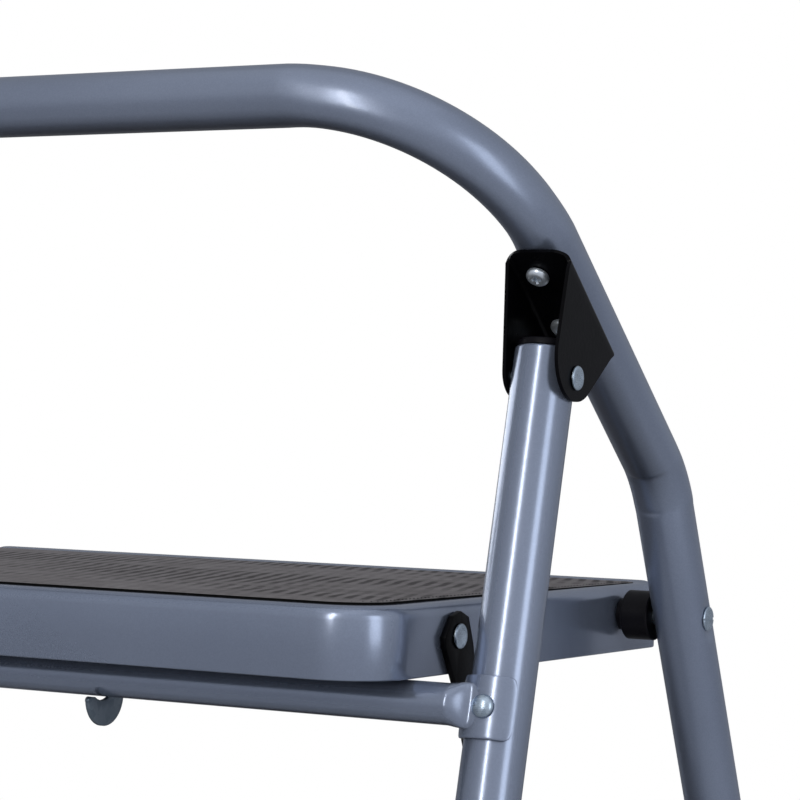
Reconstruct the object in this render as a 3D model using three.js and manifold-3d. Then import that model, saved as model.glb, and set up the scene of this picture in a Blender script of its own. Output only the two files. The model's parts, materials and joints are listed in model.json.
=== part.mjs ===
// Folding three-tread platform ladder with a hoop handrail. Millimetres, +Z up.
// The climber faces -Y: the front rails stand on the +Y side, the rear legs on the -Y side.
// While it is built, Z = 0 is the floor and Y = 0 the platform's pivot; the last lines centre it.
import * as THREE from "three";
import { mergeVertices } from "three/addons/utils/BufferGeometryUtils.js";
import Module from "manifold-3d";

const wasm = await Module();
wasm.setup();

// ---- Driving dimensions ----
const PLATFORM_HEIGHT = 690; // top of the platform's steel above the floor
const STEP_RISE = 230; // from one tread to the next
const TUBE_RADIUS = 12.5; // front frame and rear legs
const TUBE_WALL = 1.2;
const LEG_X = 216.5; // centre lines of the rear legs and hinge brackets, either side of the middle
const RAIL_X = 216.1; // centre lines of the front rails at the platform's pivot
const RAIL_SPLAY = 0.0155; // outward run of the front rails for each mm down
const GAP = 0.3; // air between neighbouring pieces
const TUBE_SIDES = 12;
const PIN_SIDES = 10;
const FLAT = Math.cos(Math.PI / TUBE_SIDES); // a tube's flats lie this much nearer than its corners

const PIVOT_DROP = 11.6; // a tread's pivot lies this far below its top
const FRONT_SLOPE = 0.434; // forward run of the lower rail for each mm down
const HANDLE_SLOPE = 1.214; // rearward run of the handrail for each mm up
const BEND_ABOVE_PLATFORM = 50.1; // where the rail turns back into the handrail
const HANDLE_ABOVE_PLATFORM = 196; // centre line of the hoop's top bar
const BEND_RADIUS = 60;
const HOOP_CORNER_RADIUS = 82;

const REAR_SLOPE = 0.232; // rearward run of the rear leg for each mm down
const LEG_Y_AT_PLATFORM = -166.2;
const LEG_PIVOT_ABOVE_PLATFORM = 89;
const LEG_TOP_ABOVE_PIVOT = 10.8; // metal beyond the pivot, along the leg
const LEG_END_HEIGHT = 12; // tube ends above the floor, inside the feet

const CROSS_TUBE_RADIUS = 8.1;
const CROSS_TUBE_BEHIND_LEG = 12.9; // square to the leg
const CROSS_TUBE_SHOULDER = 28; // where the round tube starts to flatten, short of the leg
const SADDLE_HEIGHTS = { upper: PLATFORM_HEIGHT - 40.1, lower: 130 }; // on the legs' centre lines

const TREAD_HALF_WIDTH = 187;
const TREAD_DEPTH = 28.4; // height of the skirt
const TREAD_FRONT = 43.7; // ahead of the pivot
const PLATFORM_REAR = -222.8; // behind the pivot
const STEP_REAR = -190;
const FRONT_CORNER = 10; // plan radius of a tread's front corners
const SHEET = 1.5; // pressed steel of the treads
const MAT_INSET = 7.5;
const MAT_THICKNESS = 1.5;

const LINK_PIN_Y = -159.7; // link bar rivet, behind each tread's pivot
const LINK_PIN_DROP = 1.7; // and a little below it
const LINK_WIDTH = 18; // between the heads
const LINK_PLATE = 2.5;
const BOLT_RADIUS = 4;
const RIVET_RADIUS = 3;
const SPACER_RADIUS = 10.8;
const SPACER_BOSS = { radius: 7, length: 3.4 }; // narrower neck of a spacer, against the tread

const HOOK_X = 40; // the two folding hooks, either side of the middle
const HOOK_PLATE = 2;
const HOOK_PIN = { y: -80, z: PLATFORM_HEIGHT - 13 };

const PIVOT_Z = PLATFORM_HEIGHT - PIVOT_DROP;
const railX = (z) => RAIL_X - RAIL_SPLAY * (z - PIVOT_Z);
const railY = (z) => -FRONT_SLOPE * (z - PIVOT_Z);
const legY = (z) => LEG_Y_AT_PLATFORM + REAR_SLOPE * (z - PLATFORM_HEIGHT);
const SIDES = { right: 1, left: -1 };

// ---- Materials ----
const metal = (color, roughness, metalness) =>
  new THREE.MeshStandardMaterial({ color, roughness, metalness });
const paint = () => metal(0x6d7585, 0.38, 0.7);
const blackPaint = () => metal(0x0a0a0c, 0.35, 0.2);
const zinc = () => metal(0xb9c2c8, 0.3, 0.9);
const plastic = () => metal(0x121216, 0.5, 0);
const matRubber = () => metal(0x4a4b50, 0.8, 0);

// ---- Solids: closed geometries in, joined or cut ones out ----
const solidOf = (geometry) => {
  const bare = geometry.clone();
  bare.deleteAttribute("normal");
  bare.deleteAttribute("uv");
  const merged = mergeVertices(bare, 1e-4);
  return new wasm.Manifold(
    new wasm.Mesh({
      numProp: 3,
      vertProperties: new Float32Array(merged.attributes.position.array),
      triVerts: new Uint32Array(merged.index.array),
    }),
  );
};

const geometryOf = (solid) => {
  const mesh = solid.getMesh();
  const geometry = new THREE.BufferGeometry();
  geometry.setAttribute("position", new THREE.BufferAttribute(mesh.vertProperties, 3));
  geometry.setIndex(new THREE.BufferAttribute(mesh.triVerts, 1));
  const flat = geometry.toNonIndexed();
  flat.computeVertexNormals();
  return flat;
};

const join = (...geometries) =>
  geometryOf(geometries.map(solidOf).reduce((whole, piece) => whole.add(piece)));

const cut = (geometry, ...tools) =>
  geometryOf(tools.map(solidOf).reduce((whole, tool) => whole.subtract(tool), solidOf(geometry)));

const vec = (x, y, z) => new THREE.Vector3(x, y, z);

const rodBetween = (start, end, radius, sides = PIN_SIDES) => {
  const along = end.clone().sub(start);
  const geometry = new THREE.CylinderGeometry(radius, radius, along.length(), sides);
  const turn = new THREE.Quaternion().setFromUnitVectors(vec(0, 1, 0), along.normalize());
  geometry.applyQuaternion(turn);
  geometry.translate(...start.clone().add(end).multiplyScalar(0.5));
  return geometry;
};

// A closed solid through rings of equally many points, from the first ring's cap to the last's.
const loft = (rings) => {
  const count = rings[0].length;
  const positions = rings.flat().flatMap((p) => [p.x, p.y, p.z]);
  const index = [];
  for (let r = 0; r + 1 < rings.length; r++)
    for (let i = 0; i < count; i++) {
      const next = (i + 1) % count;
      const [a, b] = [r * count + i, r * count + next];
      const [c, d] = [a + count, b + count];
      index.push(a, b, d, a, d, c);
    }
  const last = (rings.length - 1) * count;
  for (let i = 1; i + 1 < count; i++) {
    index.push(0, i + 1, i);
    index.push(last, last + i, last + i + 1);
  }
  const geometry = new THREE.BufferGeometry();
  geometry.setAttribute("position", new THREE.Float32BufferAttribute(positions, 3));
  geometry.setIndex(index);
  return geometry;
};

// A plate with an outline in its own plane, carried onto the plane of two row directions.
const plateOn = (shape, depth, origin, alongX, alongY, curveSegments = 6) => {
  const geometry = new THREE.ExtrudeGeometry(shape, { depth, bevelEnabled: false, curveSegments });
  const outward = alongX.clone().cross(alongY);
  const matrix = new THREE.Matrix4().makeBasis(alongX, alongY, outward).setPosition(origin);
  return geometry.applyMatrix4(matrix);
};

// ---- Bent tubes ----
// A path that is stepped only where it bends: each station has a point and a direction.
class StationPath extends THREE.Curve {
  constructor(stations) {
    super();
    this.stations = stations;
  }
  stationAt(u) {
    return this.stations[Math.round(u * (this.stations.length - 1))];
  }
  getPointAt(u, target = vec(0, 0, 0)) {
    return target.copy(this.stationAt(u).point);
  }
  getTangentAt(u, target = vec(0, 0, 0)) {
    return target.copy(this.stationAt(u).tangent);
  }
}

// Stations along straight runs between corners, with an arc of its own radius at each one.
const bentStations = (corners, bends) => {
  const first = corners[1].clone().sub(corners[0]).normalize();
  const stations = [{ point: corners[0], tangent: first }];
  bends.forEach(({ radius, steps }, i) => {
    const corner = corners[i + 1];
    const into = corner.clone().sub(corners[i]).normalize();
    const out = corners[i + 2].clone().sub(corner).normalize();
    const angle = into.angleTo(out);
    const axis = into.clone().cross(out).normalize();
    const start = corner.clone().addScaledVector(into, -radius * Math.tan(angle / 2));
    const centre = start.clone().addScaledVector(axis.clone().cross(into), radius);
    for (let k = 0; k <= steps; k++) {
      const turned = (v) => v.clone().applyAxisAngle(axis, (angle * k) / steps);
      const point = centre.clone().add(turned(start.clone().sub(centre)));
      stations.push({ point, tangent: turned(into) });
    }
  });
  const end = corners[corners.length - 1];
  const tangent = end.clone().sub(corners[corners.length - 2]).normalize();
  stations.push({ point: end, tangent });
  return stations;
};

const circlePoints = (radius, sides) =>
  Array.from({ length: sides }, (_, i) => {
    const angle = (2 * Math.PI * (i + 0.5)) / sides;
    return new THREE.Vector2(radius * Math.cos(angle), radius * Math.sin(angle));
  });

const hollowTube = (stations, radius) => {
  const section = new THREE.Shape(circlePoints(radius, TUBE_SIDES));
  section.holes.push(new THREE.Path(circlePoints(radius - TUBE_WALL, TUBE_SIDES)));
  return new THREE.ExtrudeGeometry(section, {
    steps: stations.length - 1,
    extrudePath: new StationPath(stations),
    bevelEnabled: false,
  });
};

const straightTube = (start, end, radius) => {
  const tangent = end.clone().sub(start).normalize();
  return hollowTube([{ point: start, tangent }, { point: end, tangent }], radius);
};

// ---- Fasteners: lathe profiles of a shank with its heads, along an axis ----
const turned = (profile, origin, axis, sides = PIN_SIDES) => {
  const points = profile.map(([radius, height]) => new THREE.Vector2(radius, height));
  const geometry = new THREE.LatheGeometry(points, sides);
  geometry.applyQuaternion(new THREE.Quaternion().setFromUnitVectors(vec(0, 1, 0), axis));
  return geometry.translate(...origin);
};

// ---- The assembly ----
const ladder = new THREE.Group();
const add = (name, geometry, material) => {
  const mesh = new THREE.Mesh(geometry, material);
  mesh.name = name;
  ladder.add(mesh);
};

const treads = {
  platform: { rear: PLATFORM_REAR, rearCorner: 27 },
  middle_step: { rear: STEP_REAR, rearCorner: 22 },
  lower_step: { rear: STEP_REAR, rearCorner: 22 },
};
Object.values(treads).forEach((tread, i) => {
  tread.pivotZ = PIVOT_Z - i * STEP_RISE;
  tread.pivotY = railY(tread.pivotZ);
  tread.top = tread.pivotZ + PIVOT_DROP;
});

const LEG_PIVOT_Z = PLATFORM_HEIGHT + LEG_PIVOT_ABOVE_PLATFORM;
const LEG_PIVOT_Y = legY(LEG_PIVOT_Z);
const legUp = vec(0, REAR_SLOPE, 1).normalize();
const railUp = vec(0, -FRONT_SLOPE, 1).normalize();
const BEND_Z = PLATFORM_HEIGHT + BEND_ABOVE_PLATFORM;
const HANDLE_Z = PLATFORM_HEIGHT + HANDLE_ABOVE_PLATFORM;
const HANDLE_Y = railY(BEND_Z) - HANDLE_SLOPE * (HANDLE_Z - BEND_Z);

// The bracket is laid out along the handrail (s, from the bend) and away from it (n, to the rear).
const handleUp = vec(0, -HANDLE_SLOPE, 1).normalize();
const handleRear = vec(0, -handleUp.z, handleUp.y);
const bracketPoint = (x, s, n) =>
  vec(x, railY(BEND_Z), BEND_Z).addScaledVector(handleUp, s).addScaledVector(handleRear, n);
const BRACKET = { inner: 12.8, plate: 1.5, bottom: 96, top: 155, screws: [112, 142], screwX: LEG_X - 3.3 };

// -- Front frame: one bent tube from foot to foot, drilled for its bolts and screws --
const boltLine = (side, tread, x0, x1, radius) =>
  rodBetween(vec(side * x0, tread.pivotY, tread.pivotZ), vec(side * x1, tread.pivotY, tread.pivotZ), radius);

const frontFrameTube = () => {
  const half = [
    vec(railX(LEG_END_HEIGHT), railY(LEG_END_HEIGHT), LEG_END_HEIGHT),
    vec(railX(BEND_Z), railY(BEND_Z), BEND_Z),
    vec(railX(HANDLE_Z), HANDLE_Y, HANDLE_Z),
  ];
  const mirrored = half.map((p) => vec(-p.x, p.y, p.z)).reverse();
  const bend = { radius: BEND_RADIUS, steps: 4 };
  const corner = { radius: HOOP_CORNER_RADIUS, steps: 8 };
  const stations = bentStations([...half, ...mirrored], [bend, corner, corner, bend]);
  const drills = Object.values(SIDES).flatMap((side) => [
    ...Object.values(treads).map((tread) => boltLine(side, tread, 195, 245, BOLT_RADIUS + GAP)),
    ...BRACKET.screws.map((s) =>
      rodBetween(bracketPoint(side * BRACKET.screwX, s, 4), bracketPoint(side * BRACKET.screwX, s, 20), 2.3),
    ),
  ]);
  return cut(hollowTube(stations, TUBE_RADIUS), ...drills);
};
add("front_frame_tube", frontFrameTube(), paint());

// -- Feet: rubber sleeves over the tube ends, cut flat on the floor --
const foot = (end, up) => {
  const at = (distance) => end.clone().addScaledVector(up, distance);
  const sleeve = rodBetween(at(-30), at(32), TUBE_RADIUS + 3.5, TUBE_SIDES);
  const bore = rodBetween(at(-GAP), at(60), (TUBE_RADIUS + GAP) / FLAT, TUBE_SIDES);
  const floor = new THREE.BoxGeometry(100, 200, 100).translate(end.x, end.y, -50);
  return cut(sleeve, bore, floor);
};

// -- Rear legs: straight tubes, closed by a plug above the hinge --
const legPoint = (side, distance) =>
  vec(side * LEG_X, LEG_PIVOT_Y, LEG_PIVOT_Z).addScaledVector(legUp, distance);

const legRear = vec(0, -legUp.z, legUp.y);
const behindLeg = (side, height, distance) =>
  vec(side * LEG_X, legY(height), height).addScaledVector(legRear, distance);

const rearLeg = (side) => {
  const end = behindLeg(side, LEG_END_HEIGHT, 0);
  const tube = straightTube(end, legPoint(side, LEG_TOP_ABOVE_PIVOT), TUBE_RADIUS);
  const pivot = legPoint(side, 0);
  const across = vec(20, 0, 0);
  const drills = [rodBetween(pivot.clone().sub(across), pivot.clone().add(across), RIVET_RADIUS + GAP)];
  for (const height of Object.values(SADDLE_HEIGHTS))
    drills.push(rodBetween(behindLeg(side, height, 0), behindLeg(side, height, 20), RIVET_RADIUS + GAP));
  return cut(tube, ...drills);
};

const legPlug = (side) => {
  const spigot = (TUBE_RADIUS - TUBE_WALL) * FLAT - GAP;
  const profile = [[0, -5], [spigot, -5], [spigot, GAP], [11.4, GAP], [11.4, 2.4], [10, 3.3], [0, 3.3]];
  return turned(profile, legPoint(side, LEG_TOP_ABOVE_PIVOT), legUp, TUBE_SIDES);
};

// -- Hinge brackets: channels screwed behind the handrail, with flanges that hold the leg --
// Each flange has a shoulder depth and a round nose: centre along and away, radius, first and last angle.
const FLANGES = {
  outer: { shoulder: 17, nose: [121, 38, 18, 0.433, 2.892] },
  inner: { shoulder: 15.5, nose: [115.5, 41.5, 10.8, 0.674, 2.86] },
};

const flange = ({ shoulder, nose }) => {
  const shape = new THREE.Shape();
  shape.moveTo(BRACKET.bottom, BRACKET.inner);
  shape.lineTo(150.5, BRACKET.inner);
  shape.lineTo(150.5, shoulder);
  shape.absarc(...nose);
  return shape;
};

const hingeBracket = (side) => {
  const middle = side * LEG_X;
  const outer = BRACKET.inner + BRACKET.plate;
  const web = new THREE.Shape();
  web.moveTo(BRACKET.bottom, -outer);
  web.lineTo(BRACKET.top - 5, -outer);
  web.absarc(BRACKET.top - 5, -outer + 5, 5, -Math.PI / 2, 0);
  web.absarc(BRACKET.top - 5, outer - 5, 5, 0, Math.PI / 2);
  web.lineTo(BRACKET.bottom, outer);
  const flangeAt = (x, outline) =>
    plateOn(flange(outline), BRACKET.plate, bracketPoint(x, 0, 0), handleUp, handleRear);
  const webPlate = plateOn(web, BRACKET.plate, bracketPoint(middle, 0, outer), handleUp, vec(1, 0, 0));
  const channel = join(
    flangeAt(middle - outer, side > 0 ? FLANGES.inner : FLANGES.outer),
    flangeAt(middle + BRACKET.inner, side > 0 ? FLANGES.outer : FLANGES.inner),
    webPlate,
  );
  const screwHoles = BRACKET.screws.map((s) =>
    rodBetween(bracketPoint(side * BRACKET.screwX, s, 10), bracketPoint(side * BRACKET.screwX, s, 18), 2.3),
  );
  const pivot = legPoint(side, 0);
  const across = vec(20, 0, 0);
  const rivetHole = rodBetween(pivot.clone().sub(across), pivot.clone().add(across), RIVET_RADIUS + GAP);
  return cut(channel, ...screwHoles, rivetHole);
};

const bracketScrew = (side, s) => {
  const profile = [[0, -8], [2, -8], [2, GAP], [4.7, GAP], [4.7, 1.6], [3.6, 2.6], [0, 2.6]];
  const onWeb = bracketPoint(side * BRACKET.screwX, s, BRACKET.inner + BRACKET.plate);
  return turned(profile, onWeb, handleRear);
};

const hingeRivet = (side) => {
  const face = BRACKET.inner + BRACKET.plate + GAP;
  const half = [[RIVET_RADIUS, face], [5.35, face], [5.35, face + 0.9], [3.8, face + 1.8], [0, face + 1.8]];
  const otherHalf = half.map(([radius, height]) => [radius, -height]).reverse();
  return turned([...otherHalf, ...half], legPoint(side, 0), vec(1, 0, 0));
};

// -- Cross tubes: round in the middle, each end pressed flat and wrapped round the leg's back --
const SADDLE = { inner: TUBE_RADIUS + GAP, plate: 2, height: 24, reach: THREE.MathUtils.degToRad(50) };

const saddle = (side, height) => {
  const shape = new THREE.Shape();
  const [from, to] = [-Math.PI / 2 - SADDLE.reach, -Math.PI / 2 + SADDLE.reach];
  shape.absarc(0, 0, SADDLE.inner + SADDLE.plate, from, to);
  shape.absarc(0, 0, SADDLE.inner, to, from, true);
  const bottom = behindLeg(side, height, 0).addScaledVector(legUp, -SADDLE.height / 2);
  return plateOn(shape, SADDLE.height, bottom, vec(1, 0, 0), legRear.clone().negate(), 6);
};

const flattenedEnd = (side, height) => {
  const sections = [
    { inward: CROSS_TUBE_SHOULDER, behind: CROSS_TUBE_BEHIND_LEG, halfDepth: 8.1, halfHeight: 8.1 },
    { inward: 20, behind: CROSS_TUBE_BEHIND_LEG, halfDepth: 5.5, halfHeight: 9.6 },
    { inward: 13, behind: 12.5, halfDepth: 2.2, halfHeight: 11.4 },
    { inward: 6.5, behind: 13, halfDepth: 1, halfHeight: 11.8 },
  ];
  const rings = sections.map(({ inward, behind, halfDepth, halfHeight }) =>
    circlePoints(1, TUBE_SIDES).map((p) =>
      behindLeg(side, height, behind + p.x * halfDepth)
        .addScaledVector(legUp, p.y * halfHeight)
        .add(vec(-side * inward, 0, 0)),
    ),
  );
  if (side > 0) rings.forEach((ring) => ring.reverse());
  return loft(rings);
};

const crossTube = (height) => {
  const { y, z } = behindLeg(1, height, CROSS_TUBE_BEHIND_LEG);
  const x = LEG_X - CROSS_TUBE_SHOULDER;
  const middle = straightTube(vec(-x - 1, y, z), vec(x + 1, y, z), CROSS_TUBE_RADIUS);
  const ends = Object.values(SIDES).flatMap((side) => [flattenedEnd(side, height), saddle(side, height)]);
  const tools = Object.values(SIDES).flatMap((side) => {
    const rivet = rodBetween(behindLeg(side, height, 0), behindLeg(side, height, 30), RIVET_RADIUS + GAP);
    const drain = rodBetween(vec(side * (x - 12), y, z), vec(side * (x - 12), y, z - 12), 2);
    return [rivet, drain];
  });
  return cut(join(middle, ...ends), ...tools);
};

const crossRivet = (side, height) => {
  const seat = SADDLE.inner + SADDLE.plate + GAP;
  const profile = [[0, 9], [RIVET_RADIUS, 9], [RIVET_RADIUS, seat], [4.8, seat], [4.5, seat + 1.5]];
  profile.push([3.2, seat + 2.8], [0, seat + 3.4]);
  return turned(profile, behindLeg(side, height, 0), legRear);
};

for (const [word, side] of Object.entries(SIDES)) {
  const railEnd = vec(side * railX(LEG_END_HEIGHT), railY(LEG_END_HEIGHT), LEG_END_HEIGHT);
  add(`front_foot_${word}`, foot(railEnd, vec(-side * RAIL_SPLAY, -FRONT_SLOPE, 1).normalize()), plastic());
  add(`rear_foot_${word}`, foot(behindLeg(side, LEG_END_HEIGHT, 0), legUp), plastic());
  add(`rear_leg_${word}`, rearLeg(side), paint());
  add(`rear_leg_plug_${word}`, legPlug(side), plastic());
  add(`hinge_bracket_${word}`, hingeBracket(side), blackPaint());
  add(`bracket_screw_lower_${word}`, bracketScrew(side, BRACKET.screws[0]), zinc());
  add(`bracket_screw_upper_${word}`, bracketScrew(side, BRACKET.screws[1]), zinc());
  add(`hinge_rivet_${word}`, hingeRivet(side), zinc());
}
for (const [level, height] of Object.entries(SADDLE_HEIGHTS)) {
  add(`${level}_cross_tube`, crossTube(height), paint());
  for (const [word, side] of Object.entries(SIDES))
    add(`${level}_cross_rivet_${word}`, crossRivet(side, height), zinc());
}

// -- Treads: pressed trays with a rolled top edge, and a ribbed mat let in on top --
const trayRing = (tread, inset, drop) => {
  const front = Math.max(FRONT_CORNER - inset, 1);
  const rear = Math.max(tread.rearCorner - inset, 1);
  const steps = 4;
  return [[1, front], [-1, front], [-1, rear], [1, rear]].flatMap(([side, radius], quarter) => {
    const x = side * (TREAD_HALF_WIDTH - inset - radius);
    const y = quarter < 2 ? TREAD_FRONT - inset - radius : tread.rear + inset + radius;
    return Array.from({ length: steps + 1 }, (_, i) => {
      const angle = (quarter + i / steps) * (Math.PI / 2);
      const [dx, dy] = [radius * Math.cos(angle), radius * Math.sin(angle)];
      return vec(x + dx, tread.pivotY + y + dy, tread.top - drop);
    });
  });
};

const linkPin = (side, tread, x) =>
  vec(side * x, tread.pivotY + LINK_PIN_Y, tread.pivotZ - LINK_PIN_DROP);

const tray = (tread) => {
  const profile = [
    [5, SHEET],
    [SHEET + 1, 3],
    [SHEET, 5.5],
    [SHEET, TREAD_DEPTH],
    [0, TREAD_DEPTH],
    [0, 5],
    [1.5, 1.5],
    [5, 0],
  ];
  const body = loft(profile.map(([inset, drop]) => trayRing(tread, inset, drop)));
  const drills = Object.values(SIDES).flatMap((side) => [
    boltLine(side, tread, 170, 195, BOLT_RADIUS + GAP),
    rodBetween(linkPin(side, tread, 175), linkPin(side, tread, 195), RIVET_RADIUS + GAP),
  ]);
  return cut(body, ...drills);
};

const mat = (tread) =>
  loft([trayRing(tread, MAT_INSET, -GAP), trayRing(tread, MAT_INSET, -GAP - MAT_THICKNESS)]);

const stepBolt = (side, tread) => {
  const [railFace, trayFace] = [railX(tread.pivotZ) + TUBE_RADIUS + GAP, TREAD_HALF_WIDTH - SHEET - GAP];
  const profile = [[0, trayFace - 9], [5, trayFace - 9], [5, trayFace - 6.5], [6.5, trayFace - 6.5]];
  profile.push([6.5, trayFace], [BOLT_RADIUS, trayFace], [BOLT_RADIUS, railFace]);
  profile.push([5.4, railFace], [5.4, railFace + 0.7], [4.4, railFace + 1.2], [0, railFace + 1.2]);
  return turned(profile, vec(0, tread.pivotY, tread.pivotZ), vec(side, 0, 0));
};

const spacer = (side, tread) => {
  const [near, far] = [TREAD_HALF_WIDTH + GAP, railX(tread.pivotZ) - TUBE_RADIUS - GAP];
  const bore = BOLT_RADIUS + GAP;
  const shoulder = near + SPACER_BOSS.length;
  const profile = [[bore, near], [SPACER_BOSS.radius, near], [SPACER_BOSS.radius, shoulder]];
  profile.push([SPACER_RADIUS, shoulder], [SPACER_RADIUS, far], [bore, far], [bore, near]);
  return turned(profile, vec(0, tread.pivotY, tread.pivotZ), vec(side, 0, 0), 14);
};

const linkRivet = (side, tread) => {
  const [inside, outside] = [TREAD_HALF_WIDTH - SHEET - GAP, TREAD_HALF_WIDTH + LINK_PLATE + 2 * GAP];
  const profile = [[0, inside - 2], [5, inside - 2], [5, inside], [RIVET_RADIUS, inside]];
  profile.push([RIVET_RADIUS, outside], [5.2, outside], [5.2, outside + 1], [3.6, outside + 1.8]);
  profile.push([0, outside + 1.8]);
  return turned(profile, linkPin(side, tread, 0), vec(side, 0, 0));
};

for (const [name, tread] of Object.entries(treads)) {
  add(`${name}_pan`, tray(tread), paint());
  add(`${name}_mat`, mat(tread), matRubber());
  for (const [word, side] of Object.entries(SIDES)) {
    add(`${name}_bolt_${word}`, stepBolt(side, tread), zinc());
    add(`${name}_spacer_${word}`, spacer(side, tread), plastic());
    add(`${name}_link_rivet_${word}`, linkRivet(side, tread), zinc());
  }
}

// -- Platform stiffener: a hat channel under the pan, ahead of the hooks --
const stiffener = () => {
  const shape = new THREE.Shape();
  const outline = [[-20, 0], [-20, -1.2], [-12, -1.2], [-9, -12], [9, -12], [12, -1.2], [20, -1.2], [20, 0]];
  const inside = [[11, 0], [8.2, -10.8], [-8.2, -10.8], [-11, 0]];
  shape.setFromPoints([...outline, ...inside].map(([y, z]) => new THREE.Vector2(y, z)));
  const half = TREAD_HALF_WIDTH - 12;
  const origin = vec(-half, -22, PLATFORM_HEIGHT - SHEET - GAP);
  return plateOn(shape, 2 * half, origin, vec(0, 1, 0), vec(0, 0, 1));
};
add("platform_stiffener", stiffener(), paint());

// -- Link bars: keep the treads parallel, so that they all fold with the platform --
const linkBar = (side) => {
  const half = LINK_WIDTH / 2;
  const length = Math.hypot(STEP_RISE, STEP_RISE * FRONT_SLOPE) * 2;
  const shape = new THREE.Shape();
  const head = [[half, -16], [10.2, -8], [10.4, 3.5], [5, 8.6], [-1.5, 9.4], [-10.5, 4.6], [-11.6, 1]];
  head.push([-half, -17]);
  const tail = head.map(([across, up]) => [-across, -length - up]);
  shape.setFromPoints([...head, ...tail].map(([across, up]) => new THREE.Vector2(across, up)));
  const inner = TREAD_HALF_WIDTH + GAP;
  const x = side > 0 ? inner : -inner - LINK_PLATE;
  const forward = railUp.clone().cross(vec(1, 0, 0));
  const origin = linkPin(1, treads.platform, 0).setX(x);
  const holes = Object.values(treads).map((tread) =>
    rodBetween(linkPin(side, tread, 180), linkPin(side, tread, 200), RIVET_RADIUS + GAP),
  );
  return cut(plateOn(shape, LINK_PLATE, origin, forward, railUp), ...holes);
};
add("link_bar_right", linkBar(1), blackPaint());
add("link_bar_left", linkBar(-1), blackPaint());

// -- Folding hooks: straps that hang on the upper cross tube and slide in guides under the pan --
const HOOK_TUBE = behindLeg(1, SADDLE_HEIGHTS.upper, CROSS_TUBE_BEHIND_LEG);
const HOOK_NOTCH = 9.7;
const HOOK_SLOT = { rear: -80, front: -62, low: -20.6, high: -12.6, radius: RIVET_RADIUS + GAP };

const foldHook = (side) => {
  const pin = { y: HOOK_PIN.y - HOOK_TUBE.y, z: HOOK_PIN.z - HOOK_TUBE.z };
  const shape = new THREE.Shape();
  const notch = (angle) => [HOOK_NOTCH * Math.cos(angle), HOOK_NOTCH * Math.sin(angle)];
  const [lip, strap] = [Math.PI * 1.3, Math.PI * 0.2];
  shape.moveTo(...notch(lip));
  shape.absarc(0, 0, HOOK_NOTCH, lip, 2 * Math.PI + strap);
  shape.lineTo(pin.y - 2, pin.z + 8);
  shape.absarc(pin.y, pin.z, 8, Math.PI * 0.58, -Math.PI * 0.42, true);
  shape.lineTo(16.5, -5.5);
  shape.absarc(2.2, -8, 12.4, 0.05, -Math.PI * 0.98, true);
  const x = side * HOOK_X - HOOK_PLATE / 2;
  const origin = vec(x, HOOK_TUBE.y, HOOK_TUBE.z);
  const hole = rodBetween(
    vec(x - 5, HOOK_PIN.y, HOOK_PIN.z),
    vec(x + 8, HOOK_PIN.y, HOOK_PIN.z),
    RIVET_RADIUS + GAP,
  );
  return cut(plateOn(shape, HOOK_PLATE, origin, vec(0, 1, 0), vec(0, 0, 1), 10), hole);
};

const hookRivet = (side) => {
  const [inside, outside] = [-HOOK_PLATE / 2 - GAP, HOOK_PLATE / 2 + HOOK_PLATE + 2 * GAP];
  const profile = [[0, inside - 1.6], [5, inside - 1.6], [5, inside], [RIVET_RADIUS, inside]];
  profile.push([RIVET_RADIUS, outside], [5, outside], [5, outside + 1.6], [0, outside + 1.6]);
  return turned(profile, vec(side * HOOK_X, HOOK_PIN.y, HOOK_PIN.z), vec(side, 0, 0));
};

const hookGuide = (side) => {
  const shape = new THREE.Shape();
  const top = -SHEET - GAP;
  shape.setFromPoints(
    [[-94, top], [-90, -24], [-54, -24], [-50, top]].map(([y, z]) => new THREE.Vector2(y, z)),
  );
  const { rear, front, low, high, radius } = HOOK_SLOT;
  const slot = new THREE.Path();
  slot.absarc(rear, low + radius, radius, Math.PI, Math.PI * 1.5);
  slot.absarc(front, low + radius, radius, -Math.PI / 2, 0);
  slot.absarc(front, high, radius, 0, Math.PI / 2);
  slot.absarc(rear, high, radius, Math.PI / 2, Math.PI);
  shape.holes.push(slot);
  const near = HOOK_X + HOOK_PLATE / 2 + GAP;
  const x = side > 0 ? near : -near - HOOK_PLATE;
  const cheek = plateOn(shape, HOOK_PLATE, vec(x, 0, PLATFORM_HEIGHT), vec(0, 1, 0), vec(0, 0, 1));
  const tab = new THREE.BoxGeometry(16, 44, HOOK_PLATE);
  tab.translate(side * (near + 8), -72, PLATFORM_HEIGHT + top - HOOK_PLATE / 2);
  return join(cheek, tab);
};

for (const [word, side] of Object.entries(SIDES)) {
  add(`fold_hook_${word}`, foldHook(side), zinc());
  add(`hook_rivet_${word}`, hookRivet(side), zinc());
  add(`hook_guide_${word}`, hookGuide(side), paint());
}

// ---- Centre the footprint on the origin ----
const box = new THREE.Box3().setFromObject(ladder);
ladder.position.y = -(box.min.y + box.max.y) / 2;

export default ladder;
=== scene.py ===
import json
import math

import bmesh
import bpy
from mathutils import Matrix, Vector

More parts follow.
